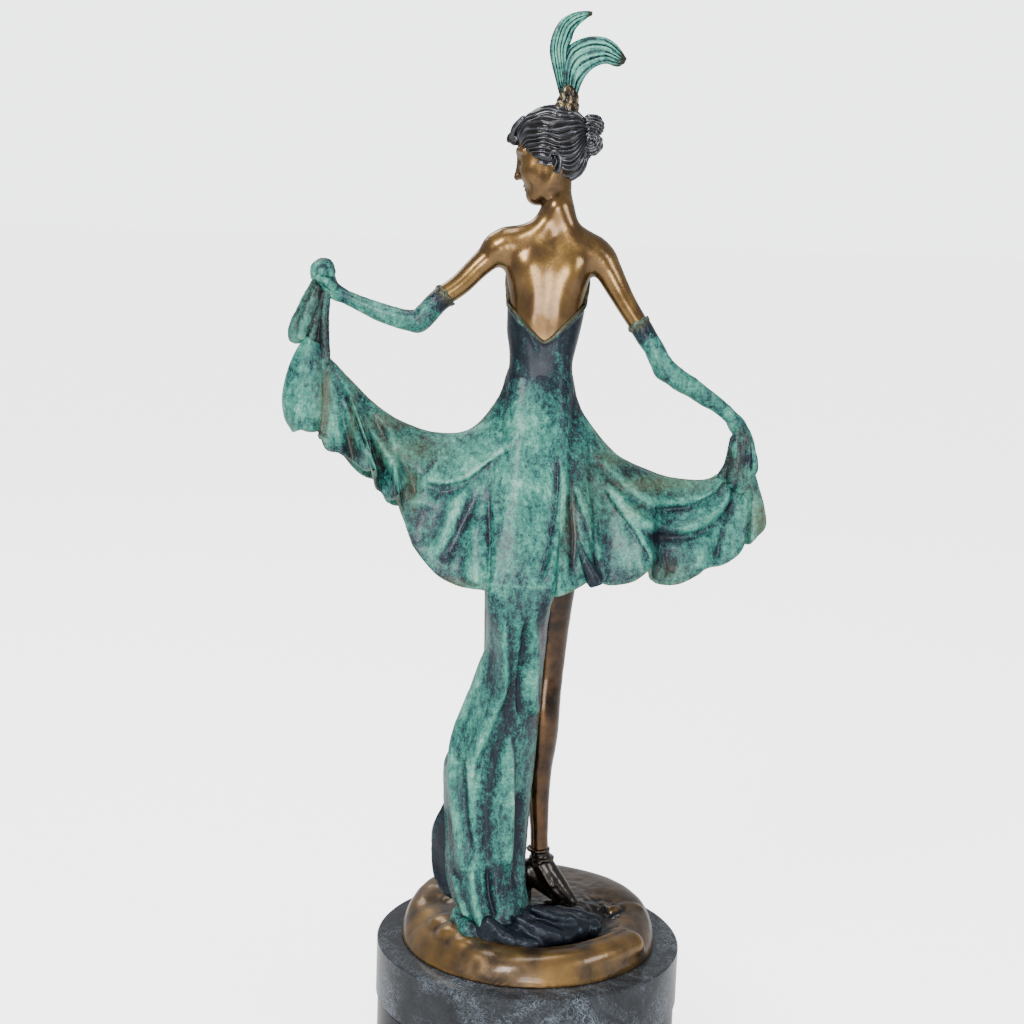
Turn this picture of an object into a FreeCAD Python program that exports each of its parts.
"""Bronze statuette of a dancer with a spread skirt, on a round stone plinth.

Millimetres, +Z up, origin on the felt pad's underside at the plinth's axis.
The dancer faces -Y, so the bare back is on the +Y side and the left arm is on the +X side.
"""
import FreeCAD, Part
import math
import os

Vec = FreeCAD.Vector
UP = Vec(0, 0, 1)

doc = FreeCAD.newDocument("dancer_statuette")

# ------------------------------------------------------------------ driving dimensions
SIZES = [
    ("felt_radius", 80.0, "felt pad under the plinth"),
    ("felt_height", 2.0, "felt pad thickness"),
    ("lower_radius", 84.0, "lower stone disc"),
    ("lower_height", 28.0, "lower stone disc"),
    ("upper_radius", 85.0, "upper stone disc"),
    ("upper_height", 32.0, "upper stone disc"),
    ("edge_chamfer", 0.8, "arris taken off each stone edge"),
    ("stud_radius", 4.0, "M8 stud, thread drawn plain"),
    ("stud_clearance", 0.5, "radial room in the stone"),
    ("thread_clearance", 0.05, "radial room between thread and nut or boss"),
    ("stud_offset", 34.0, "each stud's distance from the plinth axis"),
    ("stud_engagement", 13.0, "stud length screwed into the ground casting"),
    ("stud_below_nut", 2.5, "stud end standing out below its nut"),
    ("counterbore_radius", 14.0, "recess for nut and washer"),
    ("counterbore_depth", 17.0, "recess for nut and washer"),
    ("washer_radius", 12.0, "wide plain washer"),
    ("washer_height", 2.0, "wide plain washer"),
    ("nut_width", 13.0, "M8 nut across flats"),
    ("nut_height", 6.5, "M8 nut"),
    ("boss_radius", 8.0, "tapped boss under the ground casting"),
    ("ground_radius", 71.5, "rocky ground at its foot"),
    ("ground_height", 22.0, "rocky ground at its highest"),
    ("cast_wall", 3.5, "wall of a hollow casting"),
    ("cloth_depth", 2.6, "thickness of the cast cloth, measured along Y"),
    ("tenon_radius", 2.5, "bronze tenon that pins two castings"),
    ("tenon_length", 14.0, "bronze tenon that pins two castings"),
    ("plume_wall", 2.6, "thickness of a cast feather"),
]

sheet = doc.addObject("Spreadsheet::Sheet", "Sizes")
for row, (alias, value, note) in enumerate(SIZES, start=1):
    sheet.set(f"A{row}", note)
    sheet.set(f"B{row}", str(value))
    sheet.setAlias(f"B{row}", alias)
doc.recompute()


def size(alias):
    return float(getattr(sheet, alias))


subparts = {}


def keep(name, obj):
    """Register an object as the sub-part that is written to parts/name.step."""
    obj.Label = name
    subparts[name] = obj
    return obj


def keep_shape(name, shape):
    """Register a free-form casting, whose shape is made with Part's own functions."""
    feature = doc.addObject("Part::Feature", name)
    feature.Shape = shape
    feature.Placement = FreeCAD.Placement()
    return keep(name, feature)


# ------------------------------------------------------------------ plinth, as PartDesign bodies
def bind(obj, **expressions):
    for prop, expression in expressions.items():
        obj.setExpression(prop, expression)


def flat_sketch(body, name, circles):
    """Sketch on the body's XY plane. circles: (x expression, radius expression) on the X axis."""
    plane = next(f for f in body.Origin.OriginFeatures if f.Role == "XY_Plane")
    sketch = body.newObject("Sketcher::SketchObject", name)
    sketch.AttachmentSupport = [(plane, "")]
    sketch.MapMode = "FlatFace"
    import Sketcher
    for x_expression, radius_expression in circles:
        on_axis = x_expression == "0"
        start_x = 0.0 if on_axis else (-10.0 if x_expression.startswith("-") else 10.0)
        circle = sketch.addGeometry(Part.Circle(Vec(start_x, 0, 0), UP, 1.0), False)
        radius = sketch.addConstraint(Sketcher.Constraint("Radius", circle, 1.0))
        sketch.setExpression(f"Constraints[{radius}]", radius_expression)
        if on_axis:
            sketch.addConstraint(Sketcher.Constraint("Coincident", circle, 3, -1, 1))
            continue
        sketch.addConstraint(Sketcher.Constraint("PointOnObject", circle, 3, -1))
        ends = (circle, 3, -1, 1) if start_x < 0 else (-1, 1, circle, 3)
        gap = sketch.addConstraint(Sketcher.Constraint("DistanceX", *ends, 10.0))
        sketch.setExpression(f"Constraints[{gap}]", x_expression.lstrip("-"))
    return sketch


STUD_X = ("Sizes.stud_offset", "-Sizes.stud_offset")


def stone_disc(name, radius, height, base, counterbored):
    """A stone disc with two stud holes, and a recess round each one where asked."""
    body = doc.addObject("PartDesign::Body", name)
    pad = body.newObject("PartDesign::Pad", f"{name}_pad")
    pad.Profile = flat_sketch(body, f"{name}_outline", [("0", radius)])
    bind(pad, Length=height)
    doc.recompute()
    rims = [f"Edge{i}" for i, edge in enumerate(pad.Shape.Edges, start=1)
            if isinstance(edge.Curve, Part.Circle)]
    chamfer = body.newObject("PartDesign::Chamfer", f"{name}_arris")
    chamfer.Base = (pad, rims)
    bind(chamfer, Size="Sizes.edge_chamfer")
    doc.recompute()
    holes = body.newObject("PartDesign::Pocket", f"{name}_stud_holes")
    hole_radius = "Sizes.stud_radius + Sizes.stud_clearance"
    holes.Profile = flat_sketch(body, f"{name}_hole_places", [(x, hole_radius) for x in STUD_X])
    holes.Type = "ThroughAll"
    holes.Reversed = True
    if counterbored:
        recess = body.newObject("PartDesign::Pocket", f"{name}_recesses")
        recess.Profile = flat_sketch(body, f"{name}_recess_places",
                                     [(x, "Sizes.counterbore_radius") for x in STUD_X])
        bind(recess, Length="Sizes.counterbore_depth")
        recess.Reversed = True
    bind(body, **{"Placement.Base.z": base})
    return keep(name, body)


felt = doc.addObject("PartDesign::Body", "felt_pad")
felt_pad = felt.newObject("PartDesign::Pad", "felt_thickness")
felt_pad.Profile = flat_sketch(felt, "felt_outline", [("0", "Sizes.felt_radius")])
bind(felt_pad, Length="Sizes.felt_height")
keep("felt_pad", felt)

LOWER_BASE = "Sizes.felt_height"
UPPER_BASE = "Sizes.felt_height + Sizes.lower_height"
PLINTH_TOP = "Sizes.felt_height + Sizes.lower_height + Sizes.upper_height"
SEAT = "Sizes.felt_height + Sizes.counterbore_depth"
stone_disc("lower_plinth", "Sizes.lower_radius", "Sizes.lower_height", LOWER_BASE, True)
stone_disc("upper_plinth", "Sizes.upper_radius", "Sizes.upper_height", UPPER_BASE, False)

plinth_top = size("felt_height") + size("lower_height") + size("upper_height")


# ------------------------------------------------------------------ fixings, as Part primitives
def cylinder(name, radius, height, base, x):
    made = doc.addObject("Part::Cylinder", name)
    bind(made, Radius=radius, Height=height, **{"Placement.Base.z": base, "Placement.Base.x": x})
    return made


def bored(name, outer, height, base, x):
    """outer with a plain bore for the stud along its own axis."""
    bore = cylinder(f"{name}_bore", "Sizes.stud_radius + Sizes.thread_clearance",
                    f"{height} + 2", f"{base} - 1", x)
    cut = doc.addObject("Part::Cut", name)
    cut.Base = outer
    cut.Tool = bore
    return cut


def pair(name, make):
    """One node that holds the same fixing at both studs."""
    both = doc.addObject("Part::Compound", name)
    both.Links = [make(f"{name}_{side}", x) for side, x in zip(("left", "right"), STUD_X)]
    return keep(name, both)


STUD_FOOT = f"({SEAT} - Sizes.washer_height - Sizes.nut_height - Sizes.stud_below_nut)"
NUT_BASE = f"({SEAT} - Sizes.washer_height - Sizes.nut_height)"
WASHER_BASE = f"({SEAT} - Sizes.washer_height)"


def stud(name, x):
    length = f"({PLINTH_TOP} + Sizes.stud_engagement - {STUD_FOOT})"
    return cylinder(name, "Sizes.stud_radius", length, STUD_FOOT, x)


def washer(name, x):
    outer = cylinder(f"{name}_disc", "Sizes.washer_radius", "Sizes.washer_height", WASHER_BASE, x)
    return bored(name, outer, "Sizes.washer_height", WASHER_BASE, x)


def nut(name, x):
    outer = doc.addObject("Part::Prism", f"{name}_hexagon")
    outer.Polygon = 6
    bind(outer, Circumradius="Sizes.nut_width / sqrt(3)", Height="Sizes.nut_height",
         **{"Placement.Base.z": NUT_BASE, "Placement.Base.x": x})
    return bored(name, outer, "Sizes.nut_height", NUT_BASE, x)


pair("plinth_studs", stud)
pair("stud_washers", washer)
pair("stud_nuts", nut)


# ------------------------------------------------------------------ helpers for the castings
def spline_ring(points):
    curve = Part.BSplineCurve()
    curve.interpolate(points, PeriodicFlag=True)
    return Part.Wire(curve.toShape())


def oval_ring(z, x, y, half_wide, half_deep, count=16):
    """Level oval ring as a closed spline that always starts on the +X side."""
    turns = [2 * math.pi * i / count for i in range(count)]
    return spline_ring([Vec(x + half_wide * math.cos(a), y + half_deep * math.sin(a), z)
                        for a in turns])


def oval_loft(sections, ruled=False):
    """Solid through level ovals, given as (z, x, y, half width, half depth)."""
    return Part.makeLoft([oval_ring(*section) for section in sections], True, ruled)


def round_limb(joints):
    """Solid through rings along a limb, given as (x, y, z, radius), each square to the path."""
    points = [Vec(*joint[:3]) for joint in joints]
    wires = []
    for i, (point, joint) in enumerate(zip(points, joints)):
        along = points[min(i + 1, len(points) - 1)] - points[max(i - 1, 0)]
        side = Vec(0, 1, 0)
        side = (side - along * (side.dot(along) / along.dot(along))).normalize()
        other = Vec(along).normalize().cross(side)
        turns = [2 * math.pi * k / 12 for k in range(12)]
        wires.append(spline_ring([point + (side * math.cos(a) + other * math.sin(a)) * joint[3]
                                  for a in turns]))
    return Part.makeLoft(wires, True, False)


def fuse(shapes):
    whole = shapes[0]
    for shape in shapes[1:]:
        whole = whole.fuse(shape)
    return whole.removeSplitter()


def egg(x, y, z, half_x, half_y, half_z):
    """Ellipsoid with its own half sizes."""
    unit = Part.makeSphere(1.0)
    matrix = FreeCAD.Matrix()
    matrix.scale(half_x, half_y, half_z)
    matrix.move(Vec(x, y, z))
    return unit.transformGeometry(matrix)


def smooth_face(grid):
    surface = Part.BSplineSurface()
    surface.interpolate(grid)
    return surface.toShape()


def edge_between(face, start, end):
    """The face's edge that runs between two corners."""
    def gap(edge):
        ends = [edge.Vertexes[0].Point, edge.Vertexes[-1].Point]
        straight = ends[0].distanceToPoint(start) + ends[1].distanceToPoint(end)
        crossed = ends[1].distanceToPoint(start) + ends[0].distanceToPoint(end)
        return min(straight, crossed)
    return min(face.Edges, key=gap)


def cloth_solid(outer, depth):
    """A closed sheet. outer is a grid of points on its outer face, depth runs inwards along Y."""
    last_row, last_column = len(outer) - 1, len(outer[0]) - 1
    inner = [[point - Vec(0, depth, 0) for point in line] for line in outer]
    faces = [smooth_face(outer), smooth_face(inner)]
    corners = [(0, 0), (0, last_column), (last_row, last_column), (last_row, 0)]
    for n in range(4):
        (a, b), (c, d) = corners[n], corners[(n + 1) % 4]
        faces.append(Part.makeRuledSurface(edge_between(faces[0], outer[a][b], outer[c][d]),
                                           edge_between(faces[1], inner[a][b], inner[c][d])))
    shell = Part.makeShell(faces)
    shell.sewShape()
    solid = Part.makeSolid(shell)
    if solid.Volume < 0:
        solid.reverse()
    return solid


# ------------------------------------------------------------------ ground casting
def ground_casting():
    """Low rocky mound, hollow below, with a tapped boss over each stud."""
    radius, height = size("ground_radius"), size("ground_height")
    profile = [  # share of the height, share of the radius along X and Y, shift towards -Y
        (0.0, 1.0, 1.0, 0.0), (0.3, 0.99, 0.985, 0.3), (0.6, 0.95, 0.93, 1.5),
        (0.85, 0.86, 0.80, 4.0), (1.0, 0.72, 0.62, 7.0)]

    def mound(inset):
        return oval_loft([(plinth_top + share * (height - inset), 0, -shift,
                           radius * wide - inset, radius * deep - inset)
                          for share, wide, deep, shift in profile])

    shell = mound(0).cut(mound(size("cast_wall")))
    bosses, bores = [], []
    for side in (1, -1):
        foot = Vec(side * size("stud_offset"), 0, plinth_top)
        bosses.append(Part.makeCylinder(size("boss_radius"), height, foot))
        bores.append(Part.makeCylinder(size("stud_radius") + size("thread_clearance"),
                                       size("stud_engagement") + 1, foot))
    bosses = [boss.common(mound(0)) for boss in bosses]
    return fuse([shell] + bosses).cut(bores[0]).cut(bores[1])


# ------------------------------------------------------------------ legs and shoes
# Rings down each leg: x, y, z, radius. They start inside the skirt and end at the ankle strap.
RIGHT_LEG = [(-9, 0, 320, 14.0), (-8, 0, 290, 13.6), (-7, 0, 262, 12.2), (-5.6, -1, 232, 10.6),
             (-4.6, -1, 204, 9.0), (-3.6, 1, 182, 9.0), (-3.0, 2, 164, 8.8), (-3.4, 1, 142, 6.8),
             (-4.4, 0, 122, 5.4), (-4.6, 0, 112, 5.2)]
LEFT_LEG = [(19, 0, 320, 13.4), (19, -4, 290, 13.2), (19, -9, 262, 12.0), (20, -14, 232, 10.6),
            (21, -17, 206, 9.0), (22, -12, 184, 9.0), (23, -7, 164, 8.8), (24, -5, 142, 6.8),
            (25, -4, 122, 5.4), (25, -4, 112, 5.2)]
# Rings from the ankle to the toe: x, y, z, radius.
RIGHT_SHOE = [(-4.6, 0, 112, 5.4), (-7, 1, 104, 6.6), (-13, 3, 97, 7.0), (-21, 5, 91.5, 6.4),
              (-29, 7, 88.5, 5.2), (-36, 8, 87, 3.0)]
LEFT_SHOE = [(25, -4, 112, 5.4), (25, -6, 104, 6.6), (26, -12, 98, 7.0), (28, -22, 92.5, 6.6),
             (30, -31, 89.5, 5.6), (32, -40, 88, 4.2), (33, -46, 87.5, 2.4)]
RIGHT_HEEL, LEFT_HEEL = (1, -1), (25, 1)


def shoe(rings, heel):
    """Court shoe on a slim heel that ends on the ground."""
    ground_top = plinth_top + size("ground_height")
    upper = round_limb(rings)
    counter = egg(heel[0], heel[1], 99, 5.6, 5.6, 6.5)
    block = Part.makeCone(2.2, 3.6, 12, Vec(heel[0], heel[1], ground_top))
    below = Part.makeBox(200, 200, 40, Vec(-100, -100, ground_top - 40))
    return fuse([upper, counter, block]).cut(below)


# ------------------------------------------------------------------ torso, bodice and arms
# Level ovals of the trunk: z, x, y, half width, half depth.
TRUNK = [(320, 5, 0, 29.0, 15.5), (336, 4.6, 0, 21.0, 14.5), (352, 5, 0, 16.6, 13.0),
         (364, 5.4, 0, 16.8, 12.4), (372, 5.4, 0, 16.8, 12.0), (380, 4.6, 0, 16.4, 11.4), (388, 4.3, 0, 16.0, 11.0),
         (400, 4.0, -0.5, 18.2, 12.2), (412, 3.4, -1, 20.2, 13.6), (424, 2.6, -1, 21.4, 14.0),
         (436, 2.2, 0, 24.0, 13.4), (446, 2.0, 0.5, 28.0, 11.4), (453, 1.5, 1, 24.0, 9.4),
         (458, 0, 1, 13.5, 8.4), (464, -1.2, 0.5, 8.6, 7.6), (474, -1.4, 0, 7.2, 7.2)]
BODICE_FOOT, BODICE_GROWTH = 320.0, 1.2
# Dress edge as seen from the side: y and z of the front, side and back points.
NECKLINE = [(-18, 431), (0, 415), (15.5, 397)]
LEFT_ARM = [(18, 0, 448, 7.4), (28, 0.5, 446.5, 8.6), (36.5, 1, 441, 8.2), (46, 3, 432, 7.2), (54, 5, 424, 6.7)]
RIGHT_ARM = [(-14, 0, 448, 7.4), (-24.5, 0.5, 444, 8.6), (-31, 1, 437, 8.2), (-37, 3, 426, 7.2), (-47, 5, 409, 6.9)]
LEFT_GLOVE = [(54, 5, 424, 7.0), (62, 7, 416, 6.8), (69, 8, 409.5, 6.8), (75, 8, 407, 6.9),
              (84, 7, 408.5, 6.2), (98, 4, 413, 5.0), (112, 0, 418, 4.2), (120, -1, 422, 4.8)]
RIGHT_GLOVE = [(-47, 5, 409, 7.0), (-52, 7, 399, 6.8), (-57, 8, 390, 6.9), (-62.5, 8, 383.5, 7.0),
               (-72, 7, 377, 6.2), (-86, 4, 368.5, 5.2), (-99, 0, 359.5, 4.4),
               (-103.5, -1, 351, 4.8)]
LEFT_HAND = [(121, -1, 424, 5.4, 4.6, 8.0), (125, -1, 430, 4.4, 4.4, 7.6)]
RIGHT_HAND = [(-105, -1, 346, 6.0, 4.8, 9.0), (-108, -1, 339, 5.2, 4.6, 8.0)]


def trunk(low, high, growth):
    rings = [(z, x, y, wide + growth, deep + growth)
             for z, x, y, wide, deep in TRUNK if low <= z <= high]
    return oval_loft(rings, ruled=True)


def torso():
    """Bare back, shoulders, upper arms and neck, hollow and open at the waist."""
    solid = fuse([trunk(388, 474, 0), round_limb(LEFT_ARM), round_limb(RIGHT_ARM)])
    hollow = trunk(388, 436, -size("cast_wall"))
    return solid.cut(hollow)


def bodice(body_core):
    """Top of the dress, cut low behind, round the torso casting."""
    outer = trunk(BODICE_FOOT, 436, BODICE_GROWTH)
    hollow = trunk(BODICE_FOOT, 436, BODICE_GROWTH - size("cast_wall"))
    above = [Vec(-60, y, z) for y, z in [(-60, 431)] + NECKLINE + [(60, 397), (60, 500), (-60, 500)]]
    above = Part.Face(Part.makePolygon(above + above[:1])).extrude(Vec(120, 0, 0))
    return outer.cut(above).cut(hollow).cut(body_core)


def glove(rings, hand):
    """Long glove from its cuff over the elbow to the closed hand."""
    return fuse([round_limb(rings)] + [egg(*palm) for palm in hand])


# ------------------------------------------------------------------ head, hair and feathers
# Level ovals of the head, turned towards +X: z, x, y, half width, half depth.
HEAD = [(474, 5.5, -1.5, 11.5, 8.5), (480, 6.6, -1.5, 14.6, 11.5), (490, 5.4, -1, 18.2, 14.4),
        (500, 3.4, -1, 20.6, 15.6), (509, 1.6, -0.5, 20.0, 14.8), (516, 1.0, 0, 15.6, 11.6),
        (520.5, 1.0, 0, 8.0, 6.0)]
HAIR_BUN = [(-17.5, 1.0, 509.5, 6.2, 6.5, 6.0), (-18.5, 1.0, 500.5, 6.6, 6.6, 5.8)]
CLASP = [(513.5, -5.0, 0.0, 5.6, 4.6), (519.0, -5.0, 0.0, 4.6, 3.8), (525.0, -5.4, 0.0, 4.6, 3.0),
         (528.0, -5.5, 0.0, 4.9, 2.2)]
# Feather outlines: x and z of points up one side, round the tip and down the other.
UPRIGHT_PLUME = [(-3.0, 527.5), (2.2, 533), (5.6, 543), (5.9, 553), (1.6, 563.2), (-6.4, 567.9),
                 (-14.6, 569.4), (-9.4, 563.4), (-5.8, 557.4), (-4.6, 547), (-4.8, 536)]
DROOPING_PLUME = [(-4.6, 527.5), (-5.0, 538), (-5.4, 548), (-7.0, 553.6), (-14.7, 556.6),
                  (-23.5, 555.2), (-30.0, 550.2), (-34.0, 544.4), (-29.4, 541.4), (-21.5, 543.2),
                  (-15.2, 540.4), (-11.2, 534.4), (-9.4, 527.5)]


def plume(outline, y):
    """Flat feather cut to its outline."""
    curve = Part.BSplineCurve()
    curve.interpolate([Vec(x, 0, z) for x, z in outline])
    start, end = curve.StartPoint, curve.EndPoint
    wire = Part.Wire([curve.toShape(), Part.LineSegment(end, start).toShape()])
    face = Part.Face(wire)
    solid = face.extrude(Vec(0, size("plume_wall"), 0))
    solid.translate(Vec(0, y, 0))
    return solid


# ------------------------------------------------------------------ skirt
# Each station runs from the upper edge of the skirt down to its hem: top x, y, z, then hem x, y, z.
# The upper edge climbs from the waist to each hand; the two halves meet along it at y = 0.
BACK = [
    ((121, 2.6, 412), (135, 3, 350)),
    ((118.6, 2.6, 396), (121, 10, 348)),
    ((110, 2.6, 377), (106, 12, 334)),
    ((98, 2.6, 364.5), (91, 20, 319)),
    ((84, 2.6, 355), (77, 26, 303)),
    ((68, 2.6, 348), (61, 36, 282)),
    ((52, 2.6, 346.3), (44, 46, 272)),
    ((37, 4.5, 352), (28, 52, 270)),
    ((24, 9, 371), (12, 57, 270)),
    ((5, 14.8, 374), (-5, 57, 270)),
    ((-14, 9, 371), (-22, 52, 272)),
    ((-25, 4.5, 353), (-38, 46, 273)),
    ((-38, 2.6, 339.5), (-54, 40, 276)),
    ((-54, 2.6, 331), (-70, 32, 272)),
    ((-70, 2.6, 326.5), (-85, 24, 279)),
    ((-85, 2.6, 326), (-99, 14, 286)),
    ((-95, 2.6, 330), (-107, 8, 299)),
    ((-99, 2.6, 336), (-114, 3, 310)),
]
FRONT_DEPTH, FRONT_LIFT = 0.86, 5.0
ROWS_DOWN = (0.0, 0.12, 0.3, 0.5, 0.7, 0.86, 1.0)
SWELL = 0.62


def skirt_back():
    """Rear half of the skirt: each station swells out early and then falls straighter."""
    grid = []
    for down in ROWS_DOWN:
        line = []
        for top, hem in BACK:
            point = Vec(*top) * (1 - down) + Vec(*hem) * down
            point.y = top[1] + (hem[1] - top[1]) * down ** SWELL
            line.append(point)
        grid.append(line)
    return cloth_solid(grid, size("cloth_depth"))


def skirt_front():
    """Front half: the rear half mirrored in the plane of the hands, shallower and cut shorter."""
    grid = []
    for down in ROWS_DOWN:
        line = []
        for top, hem in BACK:
            fullness = (hem[1] - top[1]) * FRONT_DEPTH
            point = Vec(*top) * (1 - down) + Vec(*hem) * down
            point.y = -(top[1] + fullness * down ** SWELL)
            point.z += FRONT_LIFT * down * fullness / BACK[8][1][1]
            line.append(point)
        grid.append(line)
    return cloth_solid(grid, -size("cloth_depth"))


# ------------------------------------------------------------------ train
# Level rows of the train: z, left x, right x, y of both edges, y of the crown.
TRAIN = [(286, 27, -6, 38, 49), (262, 29, -4, 36, 53), (234, 29, -3, 26, 47),
         (208, 37, -2, 19, 42), (184, 46, -1, 16, 38), (158, 50, 1, 15, 36),
         (128, 54, 2, 17, 36), (104, 49, 3, 22, 38), (86, 36, 0, 28, 42)]
ACROSS = (0.0, 0.2, 0.5, 0.8, 1.0)


def train():
    """Long tail of the dress that falls behind the legs to the ground."""
    grid = []
    for z, left, right, edge_y, crown_y in TRAIN:
        grid.append([Vec(left + (right - left) * share,
                         edge_y + (crown_y - edge_y) * math.sin(math.pi * share) ** 0.7, z)
                     for share in ACROSS])
    return cloth_solid(grid, size("cloth_depth"))


def train_hem():
    """Folds of the train that lie on the ground and turn towards the right foot."""
    ridge = [(36, 36, 86, 6.0), (22, 43, 82, 8.0), (6, 44, 80, 8.5), (-10, 38, 81, 8.0),
             (-24, 32, 81, 7.0), (-40, 26, 82, 5.0)]
    return round_limb(ridge)


# ------------------------------------------------------------------ cloth gathered in each hand
LEFT_GATHER = [(121, 0, 420, 5.0), (127, 3, 413, 6.6), (133, 5, 404, 7.0), (137, 5, 395, 4.6)]
RIGHT_GATHER = [(-106, 0, 350, 6.0), (-106, 1, 340, 7.0), (-105, 2, 331, 8.0)]

# ------------------------------------------------------------------ tenons that pin the castings
TENONS = {
    "arm_tenons": [((54, 5, 424), (-8, -2, 8)), ((-47, 5, 409), (10, -2, 17))],
    "hip_tenons": [((-9, 0, 320), (0, 0, 1)), ((19, 0, 320), (0, 0, 1))],
    "neck_tenon": [((-1.4, 0, 474), (0, 0, 1))],
    "plume_tenon": [((-5.0, 0, 516), (0, 0, 1))],
    "shoe_tenons": [((-4.6, 0, 112), (0, 0, 1)), ((25, -4, 112), (0, 0, 1))],
}


def tenon(middle, along):
    along = Vec(*along).normalize()
    start = Vec(*middle) - along * (size("tenon_length") / 2)
    return Part.makeCylinder(size("tenon_radius"), size("tenon_length"), start, along)


# ------------------------------------------------------------------ castings, cut to meet face to face
pins = {name: [tenon(*place) for place in places] for name, places in TENONS.items()}
core = fuse([trunk(388, 474, 0), round_limb(LEFT_ARM), round_limb(RIGHT_ARM)])

shapes = {
    "ground_casting": ground_casting(),
    "right_leg": round_limb(RIGHT_LEG),
    "left_leg": round_limb(LEFT_LEG),
    "right_shoe": shoe(RIGHT_SHOE, RIGHT_HEEL),
    "left_shoe": shoe(LEFT_SHOE, LEFT_HEEL),
    "torso": torso(),
    "bodice": bodice(core),
    "left_glove": glove(LEFT_GLOVE, LEFT_HAND),
    "right_glove": glove(RIGHT_GLOVE, RIGHT_HAND),
    "head": oval_loft(HEAD),
    "hair_bun": fuse([egg(*curl) for curl in HAIR_BUN]),
    "hair_clasp": oval_loft(CLASP),
    "upright_plume": plume(UPRIGHT_PLUME, -size("plume_wall")),
    "drooping_plume": plume(DROOPING_PLUME, 0.0),
    "skirt_back": skirt_back(),
    "skirt_front": skirt_front(),
    "train": train(),
    "train_hem": train_hem(),
    "left_gather": round_limb(LEFT_GATHER),
    "right_gather": round_limb(RIGHT_GATHER),
}
# A piece later in this list gives way to the pieces before it.
GIVES_WAY = [
    ("right_shoe", ["right_leg"]), ("left_shoe", ["left_leg"]),
    ("left_glove", ["torso"]), ("right_glove", ["torso"]),
    ("left_gather", ["left_glove"]), ("right_gather", ["right_glove"]),
    ("hair_bun", ["head"]), ("hair_clasp", ["head", "hair_bun"]),
    ("upright_plume", ["hair_clasp"]), ("drooping_plume", ["hair_clasp"]),
    ("skirt_back", ["bodice", "left_glove", "right_glove", "left_gather", "right_gather"]),
    ("skirt_front", ["bodice", "left_glove", "right_glove", "left_gather", "right_gather"]),
    ("train", ["skirt_back", "ground_casting"]),
    ("train_hem", ["train", "ground_casting", "right_shoe", "left_shoe"]),
]


def largest(shape):
    """The main solid of a shape that a cut may have left in several."""
    return max(shape.Solids, key=lambda solid: solid.Volume)


for name, earlier in GIVES_WAY:
    for other in earlier:
        shapes[name] = largest(shapes[name].cut(shapes[other]))
for name, cylinders in pins.items():
    for pin in cylinders:
        for other in shapes:
            if shapes[other].BoundBox.intersect(pin.BoundBox):
                shapes[other] = largest(shapes[other].cut(pin))
    shapes[name] = Part.makeCompound(cylinders) if len(cylinders) > 1 else cylinders[0]
for name, shape in shapes.items():
    keep_shape(name, shape)

# ------------------------------------------------------------------ check and write
doc.recompute()
for obj in doc.Objects:
    if {"Invalid", "Error"} & set(obj.State):
        raise RuntimeError(f"{obj.Label} failed to build: {obj.State}")
for name, obj in subparts.items():
    if obj.Shape.isNull() or not obj.Shape.isValid() or not obj.Shape.Solids:
        raise RuntimeError(f"{name} has no valid solid")

os.makedirs("parts", exist_ok=True)
for name, obj in subparts.items():
    obj.Shape.exportStep(os.path.join("parts", f"{name}.step"))
    box = obj.Shape.BoundBox
    print(f"{name}: {len(obj.Shape.Solids)} solid, {obj.Shape.Volume / 1000:.1f} cm3,",
          f"z {box.ZMin:.1f} to {box.ZMax:.1f}")
